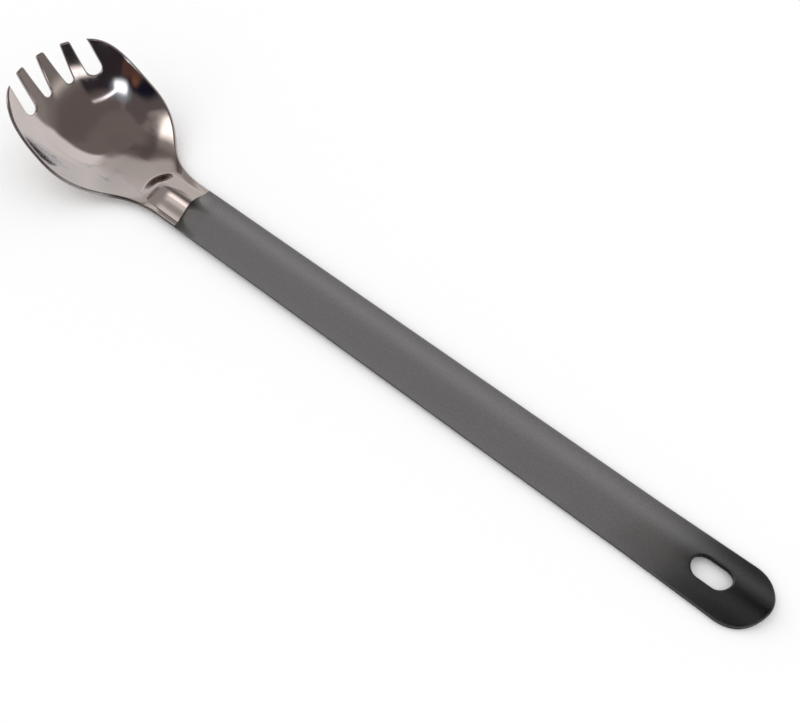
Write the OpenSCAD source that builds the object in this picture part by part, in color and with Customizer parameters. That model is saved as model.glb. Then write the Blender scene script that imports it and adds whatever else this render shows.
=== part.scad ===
// Long-handled spork, pressed from one sheet of titanium: a polished scoop with
// five tines, a polished neck, and a blasted strip handle with an arched section.
//
// The drawing frame: x runs from the foremost point of the tines (0) to the end of
// the handle, y across, and z up from the upper edges of the handle. "Back" values
// are distances along x from the front. seated() then tips the whole spork onto
// the table, with the origin under the middle of its length.

/* [Sheet] */
// Length of the whole spork
overall_len = 218; // [200:1:240]
// Thickness of the pressed sheet
sheet_t = 1; // [0.7:0.1:1.4]

/* [Tines] */
// Height of the middle tine's tip over the handle's edges
tip_rise = 19.75; // [17:0.25:22]
// Steepness of the tines, from the handle's plane
tine_pitch = 66.3; // [60:0.1:72]
// How far an outer tip stands back from the middle one
outer_tip_back = 3.25; // [2:0.25:5]
// Distance of an outer tip from the centre line
outer_tip_y = 11.9; // [11.5:0.1:12.5]
// Height of an outer tip over the handle's edges
outer_tip_rise = 19.2; // [18:0.2:20]
// Width of an outer gap, from mouth to root
outer_gap_w = 3.7; // [3:0.1:4]
// Distance of an outer gap's middle from the centre line
outer_gap_y = 9.95; // [9.6:0.05:10.3]
// Depth of an outer gap, down the tines
outer_gap_depth = 11; // [10:0.1:12]
// Width of an inner gap at its mouth
inner_gap_mouth_w = 4.55; // [3.6:0.05:4.8]
// Width of an inner gap at its root
inner_gap_root_w = 2.2; // [1.8:0.1:2.8]
// Distance of an inner gap's middle from the centre line
inner_gap_y = 3.4; // [3.2:0.05:3.7]
// Depth of an inner gap, down the tines
inner_gap_depth = 9.95; // [9.5:0.05:11]
// Depth at which the tines join the bowl
root_depth = 8.5; // [8:0.1:8.8]

/* [Bowl] */
// Width over the rim at the widest place
bowl_w = 35.6; // [33:0.2:38]
// Back to the widest place
widest_back = 20.3; // [18:0.1:22]
// Height of the rim there
widest_rise = 8.4; // [7:0.1:10]
// Slope of the rim there, falling towards the handle
rim_slope = 27.9; // [22:0.1:32]
// Back to the lowest place of the floor
low_back = 25; // [23:0.5:27]
// How far the floor lies under the handle's edges
bowl_drop = 1.3; // [0.5:0.1:2.5]
// How flat the floor is across, against the walls
wall_power = 2.6; // [2.2:0.1:3]

/* [Neck] */
// Back to where the neck is as narrow as the handle
neck_back = 50; // [47:0.5:53]
// Back to the line between the polished and the blasted finish
finish_back = 54.4; // [53:0.1:59]
// Back to the rounded start of the arch
arch_back = 37.5; // [36:0.5:41]
// Length over which the arch rises to its full height
dome_len = 5.5; // [4.5:0.5:8]

/* [Handle] */
// Width of the handle along most of its length
handle_w = 13.9; // [12.5:0.1:15]
// How much wider the rounded end is than the handle
end_swell = 0.6; // [0:0.1:2]
// Length over which the handle widens to its end
flare_len = 21; // [10:1:40]
// Height of the arch pressed along the handle
arch_rise = 1.5; // [0.8:0.1:2]
// Width of the flat margin on each side of the arch
margin_w = 1; // [0.8:0.1:1.6]

/* [Hang slot] */
// Length of the slot
slot_len = 8.6; // [7:0.1:14]
// Width of the slot
slot_w = 5.2; // [4.5:0.1:6]
// Metal left between the slot and the end of the handle
slot_land = 8.5; // [6:0.1:12]

/* [Hidden] */
$fn = 64;

polished = [0.54, 0.48, 0.45];
blasted = [0.28, 0.275, 0.27];

// Facets along the front of the bowl, along its back, along the straight neck, and across
front_steps = 22;
back_steps = 26;
straight_steps = 4;
cross_steps = 28;
// Step of the parameters over which a surface normal is taken
probe = 0.001;
// How far a cut runs past what it cuts
overrun = 2 * sheet_t;

// The rim, as two curves that meet at the widest place. A lead is how far a curve
// runs on towards its control point.
tip_lead = [5.3, 4.8, -1.1];
rim_front_lead = 10.6;
rim_back_lead = 13.4;
neck_lead = 17.3;
rim_fall = [1, 0, -tan(rim_slope)];
outer_tip = [sheet_t * sin(tine_pitch) + outer_tip_back, outer_tip_y, outer_tip_rise];
widest = [widest_back, bowl_w / 2, widest_rise];
rim_end = [neck_back, handle_w / 2, 0];
rim_front = [outer_tip, outer_tip + tip_lead, widest - rim_front_lead * rim_fall, widest];
rim_back = [widest, widest + rim_back_lead * rim_fall, rim_end - [neck_lead, 0, 0], rim_end];

// The floor, along the centre line. Its two leads at the lowest place are in the
// rim's ratio, so that the polished surface runs through without a crease.
floor_tip_lead = 12.7;
floor_front_lead = 10;
floor_back_lead = floor_front_lead * rim_back_lead / rim_front_lead;
floor_neck_lead = 8;
tine_way = [cos(tine_pitch), 0, -sin(tine_pitch)];
middle_tip = [sheet_t * sin(tine_pitch), 0, tip_rise];
low = [low_back, 0, -bowl_drop];
floor_end = [neck_back, 0, 0];
floor_front = [middle_tip, middle_tip + floor_tip_lead * tine_way, low - [floor_front_lead, 0, 0], low];
floor_back = [low, low + [floor_back_lead, 0, 0], floor_end - [floor_neck_lead, 0, 0], floor_end];

// The arch, and the handle's round end
arch_half = handle_w / 2 - margin_w;
end_r = (handle_w + end_swell) / 2;
end_back = overall_len - end_r;
slot_r = slot_w / 2;
slot_end_back = overall_len - slot_land - slot_r;
slot_front_back = slot_end_back - (slot_len - slot_w);

// At rest the spork stands on the bowl and on the margins beside its round end
stand_back = end_back + sqrt(end_r * end_r - arch_half * arch_half);
rest_pitch = atan(bowl_drop / (stand_back - low_back));

// Where a point lies along the table once the spork is tipped, and so the middle of
// the spork: between the front edge of the middle tip and the top of the arch's end
function tipped_x(x, z) = (x - low_back) * cos(rest_pitch) + (z + bowl_drop + sheet_t) * sin(rest_pitch);
front_x = tipped_x(0, tip_rise - sheet_t * cos(tine_pitch));
end_x = tipped_x(overall_len, arch_rise);
middle_x = (front_x + end_x) / 2;

function bezier(p, t) =
    let (u = 1 - t)
    u * u * u * p[0] + 3 * u * u * t * p[1] + 3 * u * t * t * p[2] + t * t * t * p[3];

// A station is 0 at the tips, 1 at the widest place, 2 at the neck and 3 at the finish line
function straight(from, station) = from + [(station - 2) * (finish_back - neck_back), 0, 0];
function rim(station) =
    station <= 1 ? bezier(rim_front, station)
    : station <= 2 ? bezier(rim_back, station - 1)
    : straight(rim_end, station);
function floor_line(station) =
    station <= 1 ? bezier(floor_front, station)
    : station <= 2 ? bezier(floor_back, station - 1)
    : straight(floor_end, station);

// Height of the arch over the sheet: a cosine across, with a rounded start
function arch(x, y) =
    let (
        ahead = max(0, arch_back + dome_len - x) / dome_len,
        reach = min(1, norm([ahead, y / arch_half]))
    )
    arch_rise * (1 + cos(180 * reach)) / 2;

// A point of the upper surface: side runs from -1 at the left rim to 1 at the right rim
function skin(station, side) =
    let (
        edge = rim(station),
        mid = floor_line(station),
        x = mid[0] + (edge[0] - mid[0]) * side * side,
        y = edge[1] * side,
        z = mid[2] + (edge[2] - mid[2]) * pow(abs(side), wall_power)
    )
    [x, y, z + arch(x, y)];
function skin_normal(station, side) =
    let (
        along = skin(station + probe, side) - skin(station - probe, side),
        across = skin(station, side + probe) - skin(station, side - probe),
        n = cross(along, across)
    )
    n / norm(n);

stations = concat(
    [for (i = [0:front_steps - 1]) i / front_steps],
    [for (i = [0:back_steps - 1]) 1 + i / back_steps],
    [for (i = [0:straight_steps]) 2 + i / straight_steps]
);
sides = [for (j = [0:cross_steps]) 2 * j / cross_steps - 1];

// The pressed sheet of the whole head, before its gaps are cut
module head_sheet() {
    rows = len(stations);
    cols = len(sides);
    upper = [for (s = stations) for (v = sides) skin(s, v)];
    lower = [for (s = stations) for (v = sides) skin(s, v) - sheet_t * skin_normal(s, v)];
    under = rows * cols;
    function at(i, j) = i * cols + j;
    over_faces = [
        for (i = [0:rows - 2]) for (j = [0:cols - 2]) for (half = [0, 1])
            half == 0 ? [at(i, j), at(i + 1, j + 1), at(i + 1, j)] : [at(i, j), at(i, j + 1), at(i + 1, j + 1)]
    ];
    under_faces = [for (f = over_faces) [f[0] + under, f[2] + under, f[1] + under]];
    loop = concat(
        [for (j = [0:cols - 1]) at(0, j)],
        [for (i = [1:rows - 1]) at(i, cols - 1)],
        [for (j = [cols - 2:-1:0]) at(rows - 1, j)],
        [for (i = [rows - 2:-1:1]) at(i, 0)]
    );
    edge_faces = [
        for (k = [0:len(loop) - 1])
            let (a = loop[k], b = loop[(k + 1) % len(loop)])
            for (half = [0, 1])
                half == 0 ? [a, b + under, b] : [a, a + under, b + under]
    ];
    polyhedron(concat(upper, lower), concat(over_faces, under_faces, edge_faces));
}

// Moves children from the flat plane of the tines, x down the tines from the
// middle tip and z out of the bowl's hollow, to their place
module on_tines() {
    translate(middle_tip)
        rotate([0, tine_pitch, 0])
            children();
}

// A gap between two tines, with a full round root
module gap(mouth_w, root_w, depth) {
    root_r = root_w / 2;
    root_x = depth - root_r;
    translate([0, 0, -outer_tip_y])
        linear_extrude(2 * outer_tip_y) {
            polygon([
                [-outer_tip_y, -mouth_w / 2], [0, -mouth_w / 2], [root_x, -root_r],
                [root_x, root_r], [0, mouth_w / 2], [-outer_tip_y, mouth_w / 2]
            ]);
            translate([root_x, 0])
                circle(root_r);
        }
}

module gaps() {
    on_tines()
        for (side = [-1, 1]) {
            translate([0, side * outer_gap_y, 0])
                gap(outer_gap_w, outer_gap_w, outer_gap_depth);
            translate([0, side * inner_gap_y, 0])
                gap(inner_gap_mouth_w, inner_gap_root_w, inner_gap_depth);
        }
}

module head() {
    difference() {
        head_sheet();
        gaps();
    }
}

// The part of the tine plane between two distances down the tines and across
module tine_zone(from_depth, to_depth, from_y, to_y) {
    on_tines()
        translate([from_depth, from_y, -overall_len / 2])
            cube([to_depth - from_depth, to_y - from_y, overall_len]);
}

// Tips the spork onto the table, on its bowl and the end of its handle, and centres it
module seated() {
    translate([-middle_x, 0, 0])
        rotate([0, rest_pitch, 0])
            translate([-low_back, 0, bowl_drop + sheet_t])
                children();
}

module tine(from_y, to_y) {
    color(polished)
        seated()
            intersection() {
                head();
                tine_zone(-root_depth, root_depth, from_y, to_y);
            }
}

module left_outer_tine() tine(-bowl_w, -outer_gap_y);
module left_inner_tine() tine(-outer_gap_y, -inner_gap_y);
module middle_tine() tine(-inner_gap_y, inner_gap_y);
module right_inner_tine() tine(inner_gap_y, outer_gap_y);
module right_outer_tine() tine(outer_gap_y, bowl_w);

// A slice of the head between two distances from the front
module back_zone(from_back, to_back) {
    translate([from_back, -bowl_w, -bowl_w])
        cube([to_back - from_back, 2 * bowl_w, 2 * bowl_w]);
}

// The polished scoop, with the round roots of the gaps in its front wall
module bowl() {
    color(polished)
        seated()
            intersection() {
                head();
                tine_zone(root_depth, overall_len, -bowl_w, bowl_w);
                back_zone(-overrun, arch_back);
            }
}

// The polished neck, where the arch of the handle starts in a rounded dome
module neck() {
    color(polished)
        seated()
            intersection() {
                head();
                back_zone(arch_back, finish_back + overrun);
            }
}

// Section of the handle across: an arched sheet with flat margins, which run on past
// the outline that trims them
function section_slope(y) =
    let (reach = min(1, abs(y) / arch_half))
    -sign(y) * arch_rise * PI / (2 * arch_half) * sin(180 * reach);
function section_y(side) = abs(side) == 1 ? side * (end_r + overrun) : side * handle_w / 2;
function section_top(y) = [y, arch(finish_back, y)];
function section_under(y) =
    let (n = [-section_slope(y), 1])
    section_top(y) - sheet_t * n / norm(n);
handle_section = concat(
    [for (v = sides) section_top(section_y(v))],
    [for (k = [cross_steps:-1:0]) section_under(section_y(sides[k]))]
);

module handle_outline() {
    polygon([
        [finish_back, -handle_w / 2], [end_back - flare_len, -handle_w / 2], [end_back, -end_r],
        [end_back, end_r], [end_back - flare_len, handle_w / 2], [finish_back, handle_w / 2]
    ]);
    translate([end_back, 0])
        circle(end_r);
}

module hang_slot() {
    translate([0, 0, -overrun]) {
        for (x = [slot_front_back, slot_end_back])
            translate([x, 0, 0])
                cylinder(r = slot_r, h = arch_rise + 2 * overrun);
        translate([slot_front_back, -slot_r, 0])
            cube([slot_end_back - slot_front_back, slot_w, arch_rise + 2 * overrun]);
    }
}

// The blasted strip handle, with its slot for hanging
module handle() {
    color(blasted)
        seated()
            difference() {
                intersection() {
                    translate([finish_back, 0, 0])
                        rotate([90, 0, 90])
                            linear_extrude(overall_len - finish_back)
                                polygon(handle_section);
                    translate([0, 0, -overrun])
                        linear_extrude(arch_rise + 2 * overrun)
                            handle_outline();
                }
                hang_slot();
            }
}

left_outer_tine();
left_inner_tine();
middle_tine();
right_inner_tine();
right_outer_tine();
bowl();
neck();
handle();
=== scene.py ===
import math

import bpy
import numpy as np
from mathutils import Matrix, Vector
from mathutils.geometry import delaunay_2d_cdt


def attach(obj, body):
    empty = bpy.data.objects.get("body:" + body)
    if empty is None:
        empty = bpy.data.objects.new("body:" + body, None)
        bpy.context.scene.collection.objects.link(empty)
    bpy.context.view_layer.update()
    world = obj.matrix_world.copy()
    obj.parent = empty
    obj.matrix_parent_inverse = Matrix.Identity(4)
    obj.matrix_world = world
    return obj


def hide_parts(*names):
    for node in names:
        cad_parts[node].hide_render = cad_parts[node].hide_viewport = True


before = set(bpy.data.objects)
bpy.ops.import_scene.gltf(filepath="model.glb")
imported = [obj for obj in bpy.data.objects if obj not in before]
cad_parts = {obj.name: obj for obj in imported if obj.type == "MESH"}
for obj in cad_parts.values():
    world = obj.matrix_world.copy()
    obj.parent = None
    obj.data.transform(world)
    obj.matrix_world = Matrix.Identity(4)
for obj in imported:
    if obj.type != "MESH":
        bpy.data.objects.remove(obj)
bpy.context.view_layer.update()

# Scoop, tines and neck
# The front of the spork: one titanium blank, pressed into a scoop whose raised front is cut
# into five tines, and run into the arch that stiffens the handle. It is mirror-polished after
# pressing, which also rounds every cut edge. Lengths are in millimetres until a mesh is made.
millimetre = 0.001
sheet_t = 1.0
overall_len = 218.0
# The tips: the middle one is foremost, the outer ones stand farther back
tip_rise = 19.75
tine_pitch = math.radians(66.3)
outer_tip_back = 3.25
outer_tip_y = 11.9
outer_tip_rise = 19.2
# The bowl: its rim where it is widest, and its lowest place
bowl_w = 35.6
widest_back = 20.3
widest_rise = 8.4
rim_slope = math.radians(27.9)
low_back = 25.0
bowl_drop = 1.3
wall_power = 2.6
# The neck, the strip that it runs into and the arch along both
neck_back = 50.0
straight_run = 5.5
arch_back = 37.5
dome_len = 5.5
handle_w = 13.9
end_swell = 0.6
arch_rise = 1.5
margin_w = 1.0
# The line where the polish ends
finish_back = 54.05
finish_slant = -0.24
finish_curl = 0.03
curl_start = 2.0
# How strongly the rim and the floor line keep the way in which they leave each of their ends
tip_lead = np.array([5.3, 4.8, -1.1])
rim_front_lead = 10.6
rim_back_lead = 13.4
neck_lead = 17.3
floor_tip_lead = 12.7
floor_front_lead = 10.0
floor_back_lead = floor_front_lead * rim_back_lead / rim_front_lead
floor_neck_lead = 8.0

half_w = handle_w / 2
arch_half = half_w - margin_w
forward = np.array([1.0, 0.0, 0.0])
up = np.array([0.0, 0.0, 1.0])
tine_way = np.array([math.cos(tine_pitch), 0.0, -math.sin(tine_pitch)])
middle_tip = np.array([sheet_t * math.sin(tine_pitch), 0.0, tip_rise])
outer_tip = np.array([middle_tip[0] + outer_tip_back, outer_tip_y, outer_tip_rise])
widest = np.array([widest_back, bowl_w / 2, widest_rise])
rim_fall = np.array([1.0, 0.0, -math.tan(rim_slope)])
rim_end = np.array([neck_back, half_w, 0.0])
low = np.array([low_back, 0.0, -bowl_drop])
floor_end = np.array([neck_back, 0.0, 0.0])
rim_front = (outer_tip, outer_tip + tip_lead, widest - rim_front_lead * rim_fall, widest)
rim_back = (widest, widest + rim_back_lead * rim_fall, rim_end - neck_lead * forward, rim_end)
floor_front = (middle_tip, middle_tip + floor_tip_lead * tine_way, low - floor_front_lead * forward, low)
floor_back = (low, low + floor_back_lead * forward, floor_end - floor_neck_lead * forward, floor_end)


def bezier(points, t):
    """Points of a cubic curve, for values of t from 0 to 1."""
    t = np.asarray(t, float)[:, None]
    u = 1 - t
    return u**3 * points[0] + 3 * u * u * t * points[1] + 3 * u * t * t * points[2] + t**3 * points[3]


def line_along(front, back, end, station):
    """A point of the rim or the floor line: station 0 is the tips, 1 the widest place, 2 the neck."""
    run = end + (station[:, None] - 2) * straight_run * forward
    curved = np.where(
        (station <= 1)[:, None],
        bezier(front, np.minimum(station, 1)),
        bezier(back, np.clip(station - 1, 0, 1)),
    )
    return np.where((station <= 2)[:, None], curved, run)


def arch(x, y):
    """Height of the arch over the sheet: a cosine across, with a rounded start."""
    ahead = np.maximum(0, arch_back + dome_len - x) / dome_len
    reach = np.minimum(1, np.hypot(ahead, y / arch_half))
    return arch_rise * (1 + np.cos(np.pi * reach)) / 2


def scoop_skin(station, side):
    """A point of the upper surface: side runs from -1 at the left rim to 1 at the right rim."""
    edge = line_along(rim_front, rim_back, rim_end, station)
    mid = line_along(floor_front, floor_back, floor_end, station)
    x = mid[:, 0] + (edge[:, 0] - mid[:, 0]) * side**2
    y = edge[:, 1] * side
    z = mid[:, 2] + (edge[:, 2] - mid[:, 2]) * np.abs(side) ** wall_power + arch(x, y)
    return np.stack([x, y, z], -1)


probe = 1e-4


def slopes(skin, u, v):
    """How the surface runs along u and along v, and its upward normal."""
    along_u = (skin(u + probe, v) - skin(u - probe, v)) / (2 * probe)
    along_v = (skin(u, v + probe) - skin(u, v - probe)) / (2 * probe)
    normal = np.cross(along_u, along_v)
    return along_u, along_v, normal / np.linalg.norm(normal, axis=1)[:, None]


# The spork rests on its bowl and on the margins beside the round end of its handle
end_r = (handle_w + end_swell) / 2
end_back = overall_len - end_r
stand_back = end_back + math.sqrt(end_r**2 - arch_half**2)
rest_pitch = math.atan(bowl_drop / (stand_back - low_back))


def turned(directions):
    """From directions in the drawing, which lies level with the handle, to the spork as it rests."""
    x, y, z = directions.T
    cosine, sine = math.cos(rest_pitch), math.sin(rest_pitch)
    return np.stack([cosine * x + sine * z, y, cosine * z - sine * x], -1)


def tipped(points):
    """The same for points: millimetres from the place on the table under the lowest of the bowl."""
    return turned(points - low + sheet_t * up)


tip_underside = middle_tip - sheet_t * np.array([math.sin(tine_pitch), 0.0, math.cos(tine_pitch)])
handle_tip = np.array([overall_len, 0.0, arch_rise])
middle_x = tipped(np.stack([tip_underside, handle_tip]))[:, 0].mean()


def seated(points):
    """The same in metres, with the origin under the middle of the spork."""
    return (tipped(points) - middle_x * forward) * millimetre


def lengths_along(points):
    """How far along a line of points each of them lies."""
    return np.concatenate([[0], np.cumsum(np.linalg.norm(np.diff(points, axis=0), axis=1))])


def nearest_on(points, lines):
    """For each point, its distance to the nearest of some polylines and the place there."""
    best = np.full(len(points), np.inf)
    place = np.zeros_like(points)
    for line in lines:
        for start, end in zip(line[:-1], line[1:]):
            leg = end - start
            share = np.clip((points - start) @ leg / max(leg @ leg, 1e-12), 0, 1)
            foot = start + share[:, None] * leg
            distance = np.linalg.norm(points - foot, axis=1)
            closer = distance < best
            best[closer] = distance[closer]
            place[closer] = foot[closer]
    return best, place


def inside(points, loops):
    """Whether each point of the flat pattern lies in the metal: an even-odd count over all loops."""
    odd = np.zeros(len(points), bool)
    for loop in loops:
        for a, b in zip(loop, np.roll(loop, -1, axis=0)):
            if a[1] == b[1]:
                continue
            spans = (points[:, 1] > min(a[1], b[1])) & (points[:, 1] <= max(a[1], b[1]))
            cross_x = a[0] + (points[:, 1] - a[1]) * (b[0] - a[0]) / (b[1] - a[1])
            odd ^= spans & (points[:, 0] < cross_x)
    return odd


# Every cut edge is a bead: a round of this radius on the upper and on the lower side
edge_r = 0.42
bead_shares = (0.0, 0.06, 0.18, 0.36, 0.6, 0.85, 1.0)
# In a corner, points of the bead that come nearer to another cut edge than this allows are left out
bead_slack = 0.015


def bead_of(skin, loop, free, grown):
    """Points of the surface over the bead along one outline, and the way out of the metal there."""
    here = skin(loop[:, 0], loop[:, 1])
    along_u, along_v, normal = slopes(skin, loop[:, 0], loop[:, 1])
    tangent = np.roll(here, -1, axis=0) - np.roll(here, 1, axis=0)
    inward = np.cross(normal, tangent)
    inward /= np.linalg.norm(inward, axis=1)[:, None]
    # A millimetre inward, as a step in the surface's two coordinates
    uu, uv, vv = (np.sum(p * q, 1) for p, q in ((along_u, along_u), (along_u, along_v), (along_v, along_v)))
    in_u, in_v = np.sum(along_u * inward, 1), np.sum(along_v * inward, 1)
    steps = np.stack([vv * in_u - uv * in_v, uu * in_v - uv * in_u], -1) / (uu * vv - uv * uv)[:, None]
    rings = []
    for share in bead_shares[1:]:
        ring = (loop + share * edge_r * steps)[free]
        gap, _ = nearest_on(skin(ring[:, 0], ring[:, 1]), grown)
        rings.append(ring[gap > share * edge_r - bead_slack])
    return np.concatenate(rings), -inward


def pattern_triangles(name, flat, rim_edges, flat_loops):
    """Triangles over the flat pattern where there is metal, all turned the same way round."""
    corners, _, faces, sources, _, _ = delaunay_2d_cdt([Vector(p) for p in flat], rim_edges, [], 0, 1e-9)
    known = [ids[0] if ids else None for ids in sources]
    if len(corners) != len(flat) or None in known:
        raise ValueError(f"{name}: the outline crosses itself or has doubled points")
    triangles = np.array([[known[k] for k in face] for face in faces])
    triangles = triangles[inside(flat[triangles].mean(1), flat_loops)]
    first, second, third = (flat[triangles[:, k]] for k in range(3))
    area = np.cross(second - first, third - first)
    triangles[area < 0] = triangles[area < 0][:, ::-1]
    return triangles


def pressed_piece(name, skin, pattern, loops, free, grown, grid, clear):
    """A closed mesh of pressed sheet with rounded edges.

    loops are closed outlines in the surface's own two coordinates, the first the outside, and
    free says which of their points lie on a cut edge. grown are those edges in the drawing,
    grown past the piece's end, pattern flattens coordinates for the triangles, and grid holds
    the coordinates inside. clear is how far grid points stay from the bead.
    """
    flat_loops = [pattern(loop) for loop in loops]
    beads, outward = zip(*(bead_of(skin, loop, cut, grown) for loop, cut in zip(loops, free)))
    bead = np.concatenate(beads)
    bead = bead[inside(pattern(bead), flat_loops)]
    gap, _ = nearest_on(skin(grid[:, 0], grid[:, 1]), grown)
    rim_gap, _ = nearest_on(pattern(grid), [np.vstack([loop, loop[:1]]) for loop in flat_loops])
    grid = grid[(gap > edge_r + clear) & (rim_gap > clear) & inside(pattern(grid), flat_loops)]
    coords = np.concatenate([*loops, bead, grid])
    rim_edges = []
    start = 0
    for loop in loops:
        n = len(loop)
        rim_edges += [(start + k, start + (k + 1) % n) for k in range(n)]
        start += n
    triangles = pattern_triangles(name, pattern(coords), rim_edges, flat_loops).tolist()

    # The section of the bead: the nearer a point lies to the cut edge, the more its normal leans
    # out and the thinner the sheet is there
    upper = skin(coords[:, 0], coords[:, 1])
    _, _, normal = slopes(skin, coords[:, 0], coords[:, 1])
    gap, place = nearest_on(upper, grown)
    lean = place - upper
    lean -= np.sum(lean * normal, 1)[:, None] * normal
    lean /= np.maximum(np.linalg.norm(lean, axis=1), 1e-9)[:, None]
    on_cut = np.flatnonzero(np.concatenate(free))
    gap[on_cut] = 0
    lean[on_cut] = np.concatenate(outward)[on_cut]
    sine = np.clip((edge_r - gap) / edge_r, 0, 1)
    cosine = np.sqrt(1 - sine**2)
    half = (sheet_t / 2 - edge_r * (1 - cosine))[:, None]
    middle = upper - sheet_t / 2 * normal
    tilt = sine[:, None] * lean
    points = np.concatenate([middle + half * normal, middle - half * normal])
    normals = np.concatenate([cosine[:, None] * normal + tilt, -cosine[:, None] * normal + tilt])
    below = len(coords)
    faces = triangles + [[k + below for k in reversed(triangle)] for triangle in triangles]
    faces += [[a, a + below, b + below, b] for a, b in rim_edges]

    mesh = bpy.data.meshes.new(name)
    mesh.from_pydata(seated(points).tolist(), [], faces)
    mesh.polygons.foreach_set("use_smooth", [True] * len(mesh.polygons))
    mesh.normals_split_custom_set_from_vertices(turned(normals).tolist())
    edge_gap = mesh.attributes.new("edge_gap", "FLOAT", "POINT")
    edge_gap.data.foreach_set("value", np.tile(gap, 2).astype(np.float32))
    mesh.validate()
    piece = bpy.data.objects.new(name, mesh)
    bpy.context.scene.collection.objects.link(piece)
    return piece


# The gaps between the tines: straight sides and full round roots, in the plane of the tines
gap_step = 0.33
outer_gap_y = 9.95
outer_gap_w = 3.7
outer_gap_depth = 11.0
inner_gap_y = 3.4
inner_gap_mouth_w = 4.55
inner_gap_root_w = 2.2
inner_gap_depth = 9.95
station_guess = 30.0
search_rounds = 12
mouth_rounds = 4


def tine_plane(station, side):
    """How far down the tines from the middle tip, and how far across, a point of the scoop lies."""
    p = scoop_skin(station, side)
    return np.stack([(p - middle_tip) @ tine_way, p[:, 1]], -1)


def on_scoop(target):
    """The scoop's own coordinates of points given in the plane of the tines."""
    found = target / np.array([station_guess, outer_tip_y])
    for _ in range(search_rounds):
        here = tine_plane(found[:, 0], found[:, 1])
        du = (tine_plane(found[:, 0] + probe, found[:, 1]) - here) / probe
        dv = (tine_plane(found[:, 0], found[:, 1] + probe) - here) / probe
        miss = target - here
        area = du[:, 0] * dv[:, 1] - du[:, 1] * dv[:, 0]
        found[:, 0] += (miss[:, 0] * dv[:, 1] - miss[:, 1] * dv[:, 0]) / area
        found[:, 1] += (miss[:, 1] * du[:, 0] - miss[:, 0] * du[:, 1]) / area
    return found


def gap_outline(middle_y, mouth_w, root_w, depth):
    """One gap, from its right mouth corner round the root to its left one."""
    root_r = root_w / 2
    root_x = depth - root_r

    def side_line(way):
        """The right side of the gap where way is 1, or the left one where it is -1, to its root."""
        def across(x):
            return middle_y + way * (mouth_w / 2 + (root_r - mouth_w / 2) * np.clip(x / root_x, 0, None))
        mouth_x = 0.0
        for _ in range(mouth_rounds):
            mouth_x = tine_plane(np.zeros(1), across(np.array([mouth_x])) / outer_tip_y)[0, 0]
        x = np.linspace(mouth_x, root_x, int((root_x - mouth_x) / gap_step))
        line = on_scoop(np.stack([x, across(x)], -1))
        line[0, 0] = 0.0
        return line

    turn = np.linspace(math.pi / 2, -math.pi / 2, int(math.pi * root_r / gap_step) + 2)[1:-1]
    root = on_scoop(np.stack([root_x + root_r * np.cos(turn), middle_y + root_r * np.sin(turn)], -1))
    return np.concatenate([side_line(1), root, side_line(-1)[::-1]])


corner_points = 4
least_step = 0.08


def softened(runs, reach):
    """Joins runs of points end to end into one closed loop and rounds the corners between them."""
    def cut_back(run, length):
        far = lengths_along(scoop_skin(run[:, 0], run[:, 1]))
        new_start = np.array([np.interp(length, far, run[:, k]) for k in (0, 1)])
        return np.vstack([new_start, run[far > length + least_step]])

    loop = []
    shares = np.linspace(0, 1, corner_points + 2)[1:-1, None]
    for k, (run, corner) in enumerate(zip(runs, reach)):
        before = reach[k - 1]
        piece = cut_back(run, before) if before else run
        piece = cut_back(piece[::-1], corner)[::-1] if corner else piece
        loop.append(piece)
        if corner:
            following = runs[(k + 1) % len(runs)]
            a, b, c = piece[-1], run[-1], cut_back(following, corner)[0]
            loop.append((1 - shares) ** 2 * a + 2 * shares * (1 - shares) * b + shares**2 * c)
    return np.concatenate(loop)


def finish_line(y):
    """The line where the polish ends: aslant over the handle, its far end curled back."""
    return finish_back + finish_slant * y + finish_curl * np.maximum(0, y - curl_start) ** 2


# Both finishes share the points of that line, closer together on the rounded edges
line_count = 24
line_edge = half_w - edge_r * np.array(bead_shares)
line_middle = np.linspace(-line_edge[-1], line_edge[-1], line_count)[1:-1]
line_y = np.concatenate([-line_edge, line_middle, line_edge[::-1]])
line_points = np.stack([finish_line(line_y), line_y], -1)
line_coords = np.stack([2 + (line_points[:, 0] - neck_back) / straight_run, line_y / half_w], -1)

rim_step = 0.4
rim_samples = 600


def rim_run(side):
    """The rim on one side, from the tips to the finish line, in even steps."""
    last = line_coords[-1 if side > 0 else 0, 0]
    shares = np.linspace(0, 1, rim_samples)
    far = lengths_along(scoop_skin(shares * last, np.full(rim_samples, side)))
    even = np.interp(np.linspace(0, far[-1], max(3, int(far[-1] / rim_step))), far, shares)
    return np.stack([even * last, np.full(len(even), side)], -1)


def tip_run(from_side, to_side):
    """The end of one tine, along the very front of the blank."""
    sides = np.linspace(from_side, to_side, max(3, int(abs(to_side - from_side) * outer_tip_y / gap_step)))
    return np.stack([np.zeros(len(sides)), sides], -1)


outer_gap = (outer_gap_w, outer_gap_w, outer_gap_depth)
inner_gap = (inner_gap_mouth_w, inner_gap_root_w, inner_gap_depth)
gaps = [
    gap_outline(outer_gap_y, *outer_gap),
    gap_outline(inner_gap_y, *inner_gap),
    gap_outline(-inner_gap_y, *inner_gap),
    gap_outline(-outer_gap_y, *outer_gap),
]
corner_reach = 0.55
point_reach = 0.3
# The outline, run by run, and how far the corner after each run is rounded. The outer tines
# end in points, where the rim meets the outer gaps.
runs = [line_coords[1:-1], rim_run(1.0)[::-1], gaps[0]]
reach = [0, point_reach]
for before, after in zip(gaps[:-1], gaps[1:]):
    runs += [tip_run(before[-1, 1], after[0, 1]), after]
    reach += [corner_reach, corner_reach]
runs.append(rim_run(-1.0))
reach += [point_reach, 0]
scoop_loop = softened(runs, reach)
scoop_free = np.ones(len(scoop_loop), bool)
scoop_free[: len(runs[0])] = False

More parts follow.
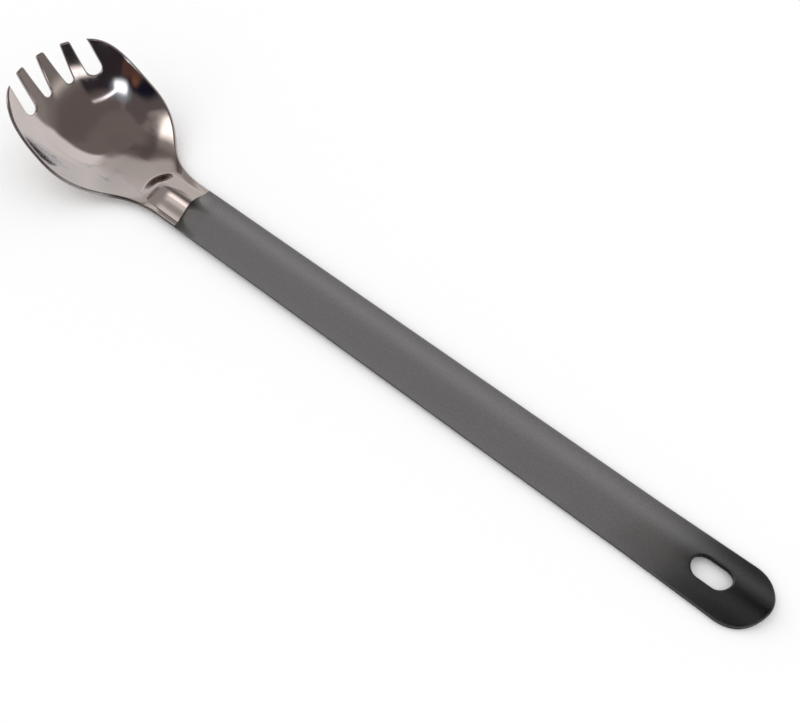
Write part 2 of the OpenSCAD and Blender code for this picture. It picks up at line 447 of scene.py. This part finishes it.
# A flat pattern of the scoop, for its triangles: lengths along the floor and out from it
last_station = 4
station_count = 400
side_count = 30
pattern_stations = np.linspace(0, last_station, station_count)
floor_far = lengths_along(scoop_skin(pattern_stations, np.zeros(station_count)))
half_sides = np.linspace(0, 1, side_count)
half_rows = [scoop_skin(np.full(side_count, station), half_sides) for station in pattern_stations]
half_widths = np.array([np.linalg.norm(np.diff(row, axis=0), axis=1).sum() for row in half_rows])


def scoop_pattern(coords):
    return np.stack([np.interp(coords[:, 0], pattern_stations, floor_far),
                     coords[:, 1] * np.interp(coords[:, 0], pattern_stations, half_widths)], -1)


scoop_rows = 100
scoop_columns = 61
scoop_clear = 0.22
row_stations = np.interp(np.linspace(0, floor_far[-1], scoop_rows), floor_far, pattern_stations)
column_sides = np.linspace(-1, 1, scoop_columns)
scoop_grid = np.array([(station, side) for station in row_stations for side in column_sides])

# The cut edge runs on a little past the finish line, so that the bead ends square to that line
past_line = 3.0
cut_run = scoop_loop[len(runs[0]):]
past_station = past_line / straight_run
scoop_cut = np.vstack([[cut_run[0, 0] + past_station, 1.0], cut_run, [cut_run[-1, 0] + past_station, -1.0]])
scoop = pressed_piece(
    "polished_scoop", scoop_skin, scoop_pattern, [scoop_loop], [scoop_free],
    [scoop_skin(scoop_cut[:, 0], scoop_cut[:, 1])], scoop_grid, scoop_clear,
)


def node(tree, kind, inputs=None, **settings):
    """A new shader node, its inputs linked to sockets or set to values."""
    made = tree.nodes.new(kind)
    for key, value in settings.items():
        setattr(made, key, value)
    for key, value in (inputs or {}).items():
        if isinstance(value, bpy.types.NodeSocket):
            tree.links.new(value, made.inputs[key])
        else:
            made.inputs[key].default_value = value
    return made


def math_node(tree, operation, a, b=0.0, c=0.0):
    return node(tree, "ShaderNodeMath", {0: a, 1: b, 2: c}, operation=operation).outputs[0]


def product(tree, first, *others):
    """Masks or values multiplied together."""
    for other in others:
        first = math_node(tree, "MULTIPLY", first, other)
    return first


def ramp(tree, value, low_in, high_in, low_out=0.0, high_out=1.0):
    """A soft step from low_out to high_out while value goes from low_in to high_in."""
    made = node(tree, "ShaderNodeMapRange", {
        "Value": value, "From Min": low_in, "From Max": high_in, "To Min": low_out, "To Max": high_out,
    }, interpolation_type="SMOOTHSTEP")
    return made.outputs["Result"]


def mixed(tree, share, a, b):
    """Colour a turning into colour b as share goes from 0 to 1."""
    made = node(tree, "ShaderNodeMix", {"Factor": share}, data_type="RGBA")
    for socket, value in ((made.inputs[6], a), (made.inputs[7], b)):
        if isinstance(value, bpy.types.NodeSocket):
            tree.links.new(value, socket)
        else:
            socket.default_value = (*value, 1)
    return made.outputs[2]


def new_group(name, inputs, outputs):
    tree = bpy.data.node_groups.new(name, "ShaderNodeTree")
    for in_out, labels in (("INPUT", inputs), ("OUTPUT", outputs)):
        for label in labels:
            tree.interface.new_socket(name=label, in_out=in_out, socket_type="NodeSocketFloat")
    return tree, tree.nodes.new("NodeGroupInput"), tree.nodes.new("NodeGroupOutput")


# Both finishes change on the rounded edges: this mask is 1 on the cut and 0 at the given width
# from it
rounded_edge, edge_in, edge_out = new_group("rounded_edge", ["Edge Gap", "Edge Width"], ["Edge"])
gap_share = math_node(rounded_edge, "DIVIDE", edge_in.outputs["Edge Gap"], edge_in.outputs["Edge Width"])
edge_mask = math_node(rounded_edge, "SUBTRACT", 1.0, math_node(rounded_edge, "MINIMUM", gap_share, 1.0))
rounded_edge.links.new(edge_mask, edge_out.inputs["Edge"])


def new_metal(name, edge_width):
    """A metal material, and what its finish is worked out from: its places and its edge mask."""
    metal = bpy.data.materials.new(name)
    metal.use_nodes = True
    tree = metal.node_tree
    shader = tree.nodes["Principled BSDF"]
    shader.inputs["Metallic"].default_value = 1.0
    position = node(tree, "ShaderNodeTexCoord").outputs["Object"]
    place = node(tree, "ShaderNodeSeparateXYZ", {"Vector": position}).outputs
    gap = node(tree, "ShaderNodeAttribute", attribute_name="edge_gap").outputs["Fac"]
    masks = node(tree, "ShaderNodeGroup", {"Edge Gap": gap, "Edge Width": edge_width}, node_tree=rounded_edge)
    return metal, tree, shader, position, place, masks.outputs["Edge"]


polish_colour = (0.545, 0.478, 0.452)
polish_worn = (0.50, 0.44, 0.42)
cut_colour = (0.4, 0.37, 0.355)
# The colour of a painted dark reflection on the near cut edge of the neck
cut_painted_dark = (0.1, 0.092, 0.088)
polish_roughness = 0.068
cut_roughness = 0.15
polish_edge_w = 0.6
polish, tree, shader, position, place, edge = new_metal("polished_titanium", polish_edge_w)
# What handling leaves on the polish, each a noise: its stretch, scale, detail and roughness,
# between which values it sets in, and how rough it makes the metal
marks = {
    "hair_scratches": ((0.12, 1, 1), 900.0, 3.0, 0.6, 0.5, 0.75, 0.035),
    "clouding": ((1, 1, 1), 90.0, 2.0, 0.5, 0.3, 0.7, 0.015),
    "specks": ((1, 1, 1), 2400.0, 1.0, 0.5, 0.6, 0.72, 0.04),
}
mark_masks = {}
roughness = polish_roughness
for mark, (stretch, scale, detail, fineness, sets_in, full, rough) in marks.items():
    stretched = node(tree, "ShaderNodeMapping", {"Vector": position, "Scale": stretch}, label=mark)
    noise = node(tree, "ShaderNodeTexNoise", {
        "Vector": stretched.outputs[0], "Scale": scale, "Detail": detail, "Roughness": fineness,
    })
    mark_masks[mark] = ramp(tree, noise.outputs["Fac"], sets_in, full)
    roughness = math_node(tree, "MULTIPLY_ADD", mark_masks[mark], rough, roughness)
surface = mixed(tree, mark_masks["clouding"], polish_colour, polish_worn)
# The cut edges are greyer than the faces: the polish reaches only their rounded corners. On the near edge of
# the neck they are darker still, with a painted dark reflection. Places on a finish are in metres.
painted_dark_cut_x = (-0.0755, -0.072)
painted_dark_cut_nearer = (0.0035, 0.0055)
cut_span = (0.45, 0.75)
nearer = math_node(tree, "MULTIPLY", place["Y"], -1.0)
# Where the painted dark reflection lies: the near cut edge of the neck
painted_dark_near_neck = product(tree, ramp(tree, place["X"], *painted_dark_cut_x), ramp(tree, nearer, *painted_dark_cut_nearer))
cut = ramp(tree, edge, *cut_span)
cut_tone_and_painted_dark = mixed(tree, painted_dark_near_neck, cut_colour, cut_painted_dark)
tree.links.new(mixed(tree, cut, surface, cut_tone_and_painted_dark), shader.inputs["Base Color"])
roughness = math_node(tree, "MULTIPLY_ADD", cut, cut_roughness, roughness)
tree.links.new(roughness, shader.inputs["Roughness"])
# The press leaves the near margin of the neck turned up a little
margin_turn = 0.26
turn_start = 0.0055
turn_w = 0.0015
turn_x = (-0.065, -0.061)
beyond = math_node(tree, "SUBTRACT", nearer, turn_start)
beyond = math_node(tree, "MINIMUM", math_node(tree, "MAXIMUM", beyond, 0.0), turn_w)
lift = product(tree, beyond, margin_turn, ramp(tree, place["X"], *turn_x))
turned_up = node(tree, "ShaderNodeBump", {"Height": lift, "Strength": 1.0, "Distance": 1.0})
tree.links.new(turned_up.outputs["Normal"], shader.inputs["Normal"])
scoop.data.materials.append(polish)
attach(scoop, "root")
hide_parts("left_outer_tine", "left_inner_tine", "middle_tine", "right_inner_tine",
            "right_outer_tine", "bowl", "neck")

# Handle
# The same blank carried on as a strip with an arch pressed along it, rounded at its end and
# punched with a slot for hanging. It was blasted with fine beads up to a masked line over the
# neck, so it is matte grey with a fine grain.
flare_len = 21.0
slot_len = 8.6
slot_w = 5.2
slot_land = 8.5
handle_step = 0.8
round_step = handle_step / 2
handle_columns = 27
handle_clear = 0.3
slot_r = slot_w / 2
slot_end = overall_len - slot_land - slot_r
slot_front = slot_end - (slot_len - slot_w)
flare_back = end_back - flare_len


def handle_skin(x, y):
    return np.stack([x, y, arch(x, y)], -1)


def straight(start, end, step):
    """Points from start towards end, without the end itself."""
    count = max(2, int(math.dist(start, end) / step))
    return np.linspace(start, end, count, endpoint=False)


def arc(middle, radius, from_angle, to_angle):
    """Points round a place on the centre line, without the last one."""
    count = max(3, int(abs(to_angle - from_angle) * radius / round_step))
    turn = np.linspace(from_angle, to_angle, count, endpoint=False)
    return np.stack([middle + radius * np.cos(turn), radius * np.sin(turn)], -1)


handle_loop = np.concatenate([
    straight(line_points[0], (flare_back, -half_w), handle_step),
    straight((flare_back, -half_w), (end_back, -end_r), handle_step),
    arc(end_back, end_r, -math.pi / 2, math.pi / 2),
    straight((end_back, end_r), (flare_back, half_w), handle_step),
    straight((flare_back, half_w), line_points[-1], handle_step),
    line_points[:0:-1],
])
# At the finish line the metal goes on, so only the two ends of that line lie on a cut edge
handle_free = np.ones(len(handle_loop), bool)
handle_free[len(handle_loop) - len(line_points) + 2:] = False
slot_loop = np.concatenate([
    arc(slot_front, slot_r, -math.pi / 2, -3 * math.pi / 2),
    straight((slot_front, slot_r), (slot_end, slot_r), round_step),
    arc(slot_end, slot_r, math.pi / 2, -math.pi / 2),
    straight((slot_end, -slot_r), (slot_front, -slot_r), round_step),
])
cut_edge = handle_loop[handle_free]
handle_cut = np.vstack([cut_edge[0] - [past_line, 0], cut_edge, cut_edge[-1] - [past_line, 0]])
slot_cut = np.vstack([slot_loop, slot_loop[:1]])
handle_grid = np.array([
    (x, y)
    for x in np.arange(neck_back, overall_len, handle_step)
    for y in np.linspace(-end_r, end_r, handle_columns)
])
handle = pressed_piece(
    "blasted_handle", handle_skin, lambda coords: coords, [handle_loop, slot_loop],
    [handle_free, np.ones(len(slot_loop), bool)],
    [handle_skin(handle_cut[:, 0], handle_cut[:, 1]), handle_skin(slot_cut[:, 0], slot_cut[:, 1])],
    handle_grid, handle_clear,
)

blast_colour = (0.492, 0.487, 0.487)
blast_pit = (0.42, 0.415, 0.415)
# The colour of a painted dark reflection behind the finish line, which also darkens the cut edges
painted_dark_and_edge_tint = (0.055, 0.05, 0.047)
line_roughness = 0.22
line_span = (-0.001, 0.0065)
blast_roughness = 0.66
pit_roughness = 0.05
grain_scale = 2600.0
grain_depth = 0.00003
blast_edge_w = 0.35
blast, tree, shader, position, place, edge = new_metal("blasted_titanium", blast_edge_w)
grain = node(tree, "ShaderNodeTexNoise", {
    "Vector": position, "Scale": grain_scale, "Detail": 2.0, "Roughness": 0.6,
})
grain_mask = ramp(tree, grain.outputs["Fac"], 0.35, 0.65)
tone = mixed(tree, grain_mask, blast_pit, blast_colour)
# The blasting thins out towards the masked line, where the surface is still smooth. Behind the line a painted
# dark reflection darkens the metal's colour.
line_x = seated(np.array([[finish_back, 0.0, 0.0]]))[0, 0]
past = math_node(tree, "SUBTRACT", place["X"], line_x)
past = math_node(tree, "MULTIPLY_ADD", place["Y"], -finish_slant, past)
# That painted dark reflection reaches farther back along the crown and along the near margin
painted_dark_reach = 0.0022
crown_y = 0.0005
near_margin_y = -0.0062
tongue_half = (0.0002, 0.0026)
tongue_len = 0.006
# The painted dark reflection is fainter towards the far margin and thin behind the line, and the same dark
# tint is stronger again on cut edges. Each of these goes from one value to another, and takes the tint from
# one strength to another.
far_fade = (0.002, 0.006, 1.0, 0.4)
thin_painted_dark = (0.0005, 0.007, 0.6, 0.0)
edge_tint = (0.6, 1.0, 0.0, 0.75)
for middle_y in (crown_y, near_margin_y):
    off_middle = math_node(tree, "ABSOLUTE", math_node(tree, "SUBTRACT", place["Y"], middle_y))
    tongue = ramp(tree, off_middle, *tongue_half, tongue_len, 0.0)
    painted_dark_reach = math_node(tree, "ADD", tongue, painted_dark_reach)
painted_dark_and_edge_share = ramp(tree, math_node(tree, "DIVIDE", past, painted_dark_reach), 0.0, 1.0, 1.0, 0.0)
painted_dark_and_edge_share = product(tree, painted_dark_and_edge_share, ramp(tree, place["Y"], *far_fade))
painted_dark_and_edge_share = math_node(tree, "MAXIMUM", painted_dark_and_edge_share, ramp(tree, past, *thin_painted_dark))
painted_dark_and_edge_share = math_node(tree, "MAXIMUM", painted_dark_and_edge_share, ramp(tree, edge, *edge_tint))
# The painted dark reflection and the darker cut edges go into the base colour here
tree.links.new(mixed(tree, painted_dark_and_edge_share, tone, painted_dark_and_edge_tint), shader.inputs["Base Color"])
blasted = ramp(tree, past, *line_span)
roughness = math_node(tree, "MULTIPLY_ADD", blasted, blast_roughness, line_roughness)
roughness = math_node(tree, "MULTIPLY_ADD", grain_mask, pit_roughness, roughness)
tree.links.new(roughness, shader.inputs["Roughness"])
bumps = node(tree, "ShaderNodeBump", {
    "Height": grain.outputs["Fac"], "Strength": 0.25, "Distance": grain_depth,
})
tree.links.new(bumps.outputs["Normal"], shader.inputs["Normal"])
handle.data.materials.append(blast)
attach(handle, "root")
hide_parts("handle")

# Table
# A plain white sheet of paper under the spork, which takes its soft shadow. Lengths are in
# metres from here on.
table_half = 3.0


def flat_sheet(name, finish, corners):
    """One flat face, and the shader nodes of its own material."""
    mesh = bpy.data.meshes.new(name)
    mesh.from_pydata(corners, [], [(0, 1, 2, 3)])
    sheet = bpy.data.objects.new(name, mesh)
    bpy.context.scene.collection.objects.link(sheet)
    material = bpy.data.materials.new(finish)
    material.use_nodes = True
    mesh.materials.append(material)
    return sheet, material.node_tree


def rectangle(x_range, y_range, z=0.0):
    (x_low, x_high), (y_low, y_high) = x_range, y_range
    return [(x_low, y_low, z), (x_high, y_low, z), (x_high, y_high, z), (x_low, y_high, z)]


table_range = (-table_half, table_half)
table, tree = flat_sheet("table", "white_paper", rectangle(table_range, table_range))
shader = tree.nodes["Principled BSDF"]
shader.inputs["Base Color"].default_value = (1, 1, 1, 1)
shader.inputs["Roughness"].default_value = 1.0
shader.inputs["Specular IOR Level"].default_value = 0.0

# Cards
# Two cards held level close over the metal, as a photographer would: a black flag that darkens
# the round end of the handle, and over the neck a card that shades from bright to dark across
# it, which draws the bright and the dark lines along the arch. They show only in reflections.
flag_corners = ((0.079, -0.03), (0.16, -0.05), (0.16, 0.05), (0.091, 0.03))
flag_height = 0.0095
neck_card_x = (-0.075, -0.0595)
neck_card_y = (-0.008, 0.0165)
neck_card_height = 0.012
card_white = (1, 0.97, 0.95, 1)
# A ray's glossy depth is 1 for what is mirrored directly, and 2 for what is mirrored twice
past_one_mirror = 1.5


def held_card(name, corners):
    """A card that shows only in what mirrors it directly, black until its light is set."""
    card, tree = flat_sheet(name, name, corners)
    card.visible_camera = False
    card.visible_diffuse = False
    card.visible_shadow = False
    tree.nodes.clear()
    light = node(tree, "ShaderNodeEmission", {"Color": card_white, "Strength": 0.0})
    clear = node(tree, "ShaderNodeBsdfTransparent")
    depth = node(tree, "ShaderNodeLightPath").outputs["Glossy Depth"]
    again = math_node(tree, "GREATER_THAN", depth, past_one_mirror)
    both = node(tree, "ShaderNodeMixShader", {0: again, 1: light.outputs[0], 2: clear.outputs[0]})
    node(tree, "ShaderNodeOutputMaterial", {"Surface": both.outputs[0]})
    return tree, light


held_card("end_flag", [(x, y, flag_height) for x, y in flag_corners])
tree, light = held_card("neck_card", rectangle(neck_card_x, neck_card_y, neck_card_height))
# Across it the neck card is grey, then white, then a strip of light, then black, then white
# again. Each step says where it starts and ends, in millimetres across, and what it leads to.
near_shade = 0.45
neck_steps = (((-6.0, -4.2), 1.0), ((-3.2, -1.4), 2.0), ((-1.6, 3.8), 0.2), ((5.0, 15.0), 0.9))
position = node(tree, "ShaderNodeTexCoord").outputs["Object"]
place = node(tree, "ShaderNodeSeparateXYZ", {"Vector": position}).outputs
glow = shade = near_shade
for (starts, ends), next_shade in neck_steps:
    step = ramp(tree, place["Y"], starts * millimetre, ends * millimetre, 0.0, next_shade - shade)
    glow = math_node(tree, "ADD", step, glow)
    shade = next_shade
# Towards its two ends the card is nowhere brighter than this
end_glow = 0.42
full_from = (-0.0715, -0.0685)
full_until = (-0.0622, -0.0602)
full = product(tree, ramp(tree, place["X"], *full_from), ramp(tree, place["X"], *full_until, 1.0, 0.0))
dimmed = math_node(tree, "MINIMUM", glow, end_glow)
glow = node(tree, "ShaderNodeMix", {"Factor": full, "A": dimmed, "B": glow}).outputs["Result"]
tree.links.new(glow, light.inputs["Strength"])

# Studio
# Soft white light from all round. What the polished metal mirrors is a pale room with a
# brown-grey ceiling, a dark corner, windows and one tube lamp, painted on the world by direction.
world = bpy.data.worlds.new("studio")
bpy.context.scene.world = world
world.use_nodes = True
# To all that doesn't mirror it the world is plain white, so it isn't sampled as a lamp
world.cycles.sampling_method = "NONE"
tree = world.node_tree
tree.nodes.clear()

zone_sizes = ("Across Middle", "Up Middle", "Half Width", "Half Height", "Softness")
zone, zone_in, zone_out = new_group("soft_zone", ["Across", "Up", *zone_sizes], ["Mask"])
zone_sides = []
for value, middle, half in (("Across", "Across Middle", "Half Width"), ("Up", "Up Middle", "Half Height")):
    away = math_node(zone, "SUBTRACT", zone_in.outputs[value], zone_in.outputs[middle])
    if value == "Across":
        # A compass angle goes round at 180 degrees, and a place on the ceiling never gets that far
        away = math_node(zone, "WRAP", away, 180.0, -180.0)
    past = math_node(zone, "SUBTRACT", math_node(zone, "ABSOLUTE", away), zone_in.outputs[half])
    spread = math_node(zone, "DIVIDE", past, zone_in.outputs["Softness"])
    zone_sides.append(ramp(zone, spread, -1.0, 1.0, 1.0, 0.0))
zone.links.new(product(zone, *zone_sides), zone_out.inputs["Mask"])

# Directions by compass angle and height, in degrees, and by place on the ceiling: how far away
# in x and in y it is, over how high
way = node(tree, "ShaderNodeTexCoord").outputs["Generated"]
way_parts = node(tree, "ShaderNodeSeparateXYZ", {"Vector": way}).outputs
compass = math_node(tree, "DEGREES", math_node(tree, "ARCTAN2", way_parts["Y"], way_parts["X"]))
height = math_node(tree, "DEGREES", math_node(tree, "ARCSINE", way_parts["Z"]))
least_steepness = 0.02
steepness = math_node(tree, "MAXIMUM", way_parts["Z"], least_steepness)
ceiling_x = math_node(tree, "DIVIDE", way_parts["X"], steepness)
ceiling_y = math_node(tree, "DIVIDE", way_parts["Y"], steepness)


def with_zone(room, name, across, up, sizes, colour):
    """The room with a soft-edged patch of colour over it.

    sizes are its middle across and up, its half width and half height and its softness, in the
    units of across and up.
    """
    inputs = {"Across": across, "Up": up, **dict(zip(zone_sizes, sizes))}
    patch = node(tree, "ShaderNodeGroup", inputs, node_tree=zone, label=name)
    return mixed(tree, patch.outputs["Mask"], room, colour)


backdrop = (1.08, 1.08, 1.08)
room_wall = (0.66, 0.65, 0.63)
wall_foot = (8.0, 40.0)
pale_wall = (1.06, 1.05, 1.08)
ceiling_colour = (0.235, 0.205, 0.2)
room = mixed(tree, ramp(tree, height, *wall_foot), backdrop, room_wall)
room = with_zone(room, "pale_wall", compass, height, (98, 40, 34, 24, 10), pale_wall)
# The ceiling is a brown-grey field. Its far edge bends twice: it is the farthest of one level
# line and two slanted ones, each with its slope and its start. It is softer where it is farther.
far_level = 0.47
far_slants = ((1.0, 0.87), (2.5, -0.2))
far_edge = far_level
for slope, start in far_slants:
    slant = math_node(tree, "MULTIPLY_ADD", ceiling_x, slope, start)
    far_edge = math_node(tree, "MAXIMUM", slant, far_edge)
far_softness = math_node(tree, "MULTIPLY_ADD", far_edge, 0.14, 0.02)
past_far = math_node(tree, "DIVIDE", math_node(tree, "SUBTRACT", ceiling_y, far_edge), far_softness)
# Its front edge bends once, its near edge is one slanted line, and its back edge lies square
front_slants = ((-0.83, 1.19), (-0.28, 1.1075))
past_front = [
    math_node(tree, "MULTIPLY_ADD", ceiling_y, slope, math_node(tree, "ADD", ceiling_x, start))
    for slope, start in front_slants
]
behind_front = math_node(tree, "MAXIMUM", *past_front)
past_near = math_node(tree, "MULTIPLY_ADD", ceiling_x, -0.35, ceiling_y)
ceiling = product(
    tree,
    ramp(tree, past_far, -1.0, 1.0, 1.0, 0.0),
    ramp(tree, behind_front, -0.15, 0.06),
    ramp(tree, past_near, -1.48, -1.34),
    ramp(tree, ceiling_x, 1.4, 1.5, 1.0, 0.0),
)
room = mixed(tree, ceiling, room, ceiling_colour)
# Each patch of the room: its colour, then its sizes in degrees
room_zones = {
    "side_wall": ((0.27, 0.255, 0.25), 34, 14, 32, 22, 6),
    "side_wall_end": ((0.36, 0.34, 0.33), 56, 8, 12, 14, 5),
    "side_ceiling": ((0.19, 0.165, 0.16), 5, 62, 66, 31, 6),
    "overhead": (ceiling_colour, 0, 90, 180, 27, 5),
    "far_wall": ((0.8, 0.78, 0.76), 131, 15, 12, 8, 4),
    "dark_corner": ((0.04, 0.035, 0.042), -54, 22, 55, 19, 5),
    "corner_ceiling": ((0.15, 0.135, 0.14), -102, 46, 26, 11, 4),
    "navy": ((0.012, 0.012, 0.028), -92, 30, 16, 4.2, 2.5),
    "door": ((0.13, 0.068, 0.055), -78, 22.5, 13.5, 5.5, 3),
    "door_edge": ((0.3, 0.14, 0.08), -86, 28.5, 4, 2, 3),
    "window": ((2.4, 2.4, 2.4), -10, 24.8, 16, 3, 2),
    "window_edge": ((0.85, 0.83, 0.8), 20, 26, 10, 2, 4),
}
for name, (colour, *sizes) in room_zones.items():
    room = with_zone(room, name, compass, height, sizes, colour)
front_dark = (0.14, 0.118, 0.112)
room = with_zone(room, "front_dark", ceiling_x, ceiling_y, (-0.87, 0.12, 0.07, 0.16, 0.12), front_dark)
# The front window, the pale wall beside it and the dark beam before it slant across the ceiling
beam_colour = (0.13, 0.118, 0.115)
beside_window = (0.42, 0.4, 0.38)
front_window = (2.6, 2.55, 2.45)
slanted = math_node(tree, "MULTIPLY_ADD", ceiling_y, 0.42, ceiling_x)
room = with_zone(room, "beam", slanted, ceiling_y, (-0.885, -0.1, 0.04, 0.45, 0.04), beam_colour)
past_beam = product(
    tree,
    ramp(tree, slanted, -0.945, -0.912, 1.0, 0.0),
    ramp(tree, slanted, -1.6, -1.5),
    ramp(tree, ceiling_y, -1.06, -1.0),
)
for colour, (starts, ends) in ((beside_window, (-0.3, 0.0)), (front_window, (-0.52, -0.25))):
    along_beam = product(tree, past_beam, ramp(tree, ceiling_y, starts, ends, 1.0, 0.0))
    room = mixed(tree, along_beam, room, colour)
# The lamp is a tube that runs away along the ceiling, dimmer towards its far end, with a haze
# round the near one
haze_colour = (0.55, 0.7, 0.86)
haze_middle = (0.6, -1.17)
haze_span = (0.1, 0.6)
lamp_light = (4.8, 5.1, 5.5)
tube_light_near = (5.2, 5.4, 6.0)
tube_light_far = (1.25, 1.2, 1.25)
haze_x = math_node(tree, "SUBTRACT", ceiling_x, haze_middle[0])
haze_y = math_node(tree, "SUBTRACT", ceiling_y, haze_middle[1])
haze_square = math_node(tree, "MULTIPLY_ADD", haze_x, haze_x, math_node(tree, "MULTIPLY", haze_y, haze_y))
haze = ramp(tree, math_node(tree, "SQRT", haze_square), *haze_span, 1.0, 0.0)
room = mixed(tree, haze, room, haze_colour)
room = with_zone(room, "lamp", compass, height, (-63, 36.5, 11, 2.8, 5), lamp_light)
tube_across = math_node(tree, "MULTIPLY_ADD", ceiling_y, -0.2, ceiling_x)
tube_light = mixed(tree, ramp(tree, ceiling_y, -1.0, 0.1), tube_light_near, tube_light_far)
room = with_zone(room, "lamp_tube", tube_across, ceiling_y, (0.905, -0.5, 0.03, 0.55, 0.05), tube_light)

# What the walls of the bowl mirror by way of each other is paler, but for a dark line along
# the near rim and a dark patch over the start of the arch
again_low = (1.95, 2.25, 2.4)
again_high = (1.5, 1.75, 1.85)
again_far = (1.55, 1.78, 1.9)
rim_dark = (0.06, 0.052, 0.05)
third_time = (2.1, 2.7, 3.1)
again_front = (0.7, 0.73, 0.74)
arch_dark = (0.18, 0.14, 0.12)
ray = node(tree, "ShaderNodeLightPath").outputs
twice = math_node(tree, "GREATER_THAN", ray["Glossy Depth"], past_one_mirror)
thrice = math_node(tree, "GREATER_THAN", ray["Glossy Depth"], past_one_mirror + 1)
again = mixed(tree, ramp(tree, height, 45.0, 85.0), again_low, again_high)
again = with_zone(again, "far_side", compass, height, (82, 38, 20, 26, 10), again_far)
# The dark line bends at this height: it leans one way below it and the other way above
bend_height = 31.0
lean_below = -0.8
lean_above = 0.35
over = math_node(tree, "SUBTRACT", height, bend_height)
leans = [math_node(tree, "MULTIPLY", over, lean) for lean in (lean_below, lean_above)]
bowed = math_node(tree, "ADD", compass, math_node(tree, "MAXIMUM", *leans))
again = with_zone(again, "rim_line", bowed, height, (85.8, 24, 4, 9.5, 1.5), rim_dark)
again = mixed(tree, thrice, again, third_time)
again = with_zone(again, "front_side", compass, height, (165, 58, 34, 32, 8), again_front)
again = with_zone(again, "front_corner", compass, height, (-158, 62, 38, 17, 6), arch_dark)
room = mixed(tree, twice, room, again)
mirrored = math_node(tree, "MAXIMUM", ray["Is Glossy Ray"], ray["Is Transmission Ray"])
seen = mixed(tree, mirrored, (1, 1, 1), room)
sky = node(tree, "ShaderNodeBackground", {"Color": seen, "Strength": 1.0})
node(tree, "ShaderNodeOutputWorld", {"Surface": sky.outputs[0]})

# Camera
# Where the photograph was taken from, worked out from the outline of the spork, with a lens
# that gives the photograph's frame of 800 by 723.
frame_w = 800
focal_px = 1241.14
camera_place = (0.14068, -0.11567, 0.21256)
camera_right = (0.72567, 0.68579, -0.05574)
camera_up = (-0.51186, 0.59221, 0.62233)
camera_back = (0.45979, -0.42307, 0.78077)
lens = bpy.data.cameras.new("camera")
lens.sensor_width = 36.0
lens.lens = lens.sensor_width * focal_px / frame_w
lens.clip_start = 0.01
lens.clip_end = 20.0
camera = bpy.data.objects.new("camera", lens)
bpy.context.scene.collection.objects.link(camera)
turn = Matrix((camera_right, camera_up, camera_back)).transposed().to_4x4()
camera.matrix_world = Matrix.Translation(camera_place) @ turn
bpy.context.scene.camera = camera
bpy.context.scene.view_settings.view_transform = "Standard"

bpy.context.view_layer.update()
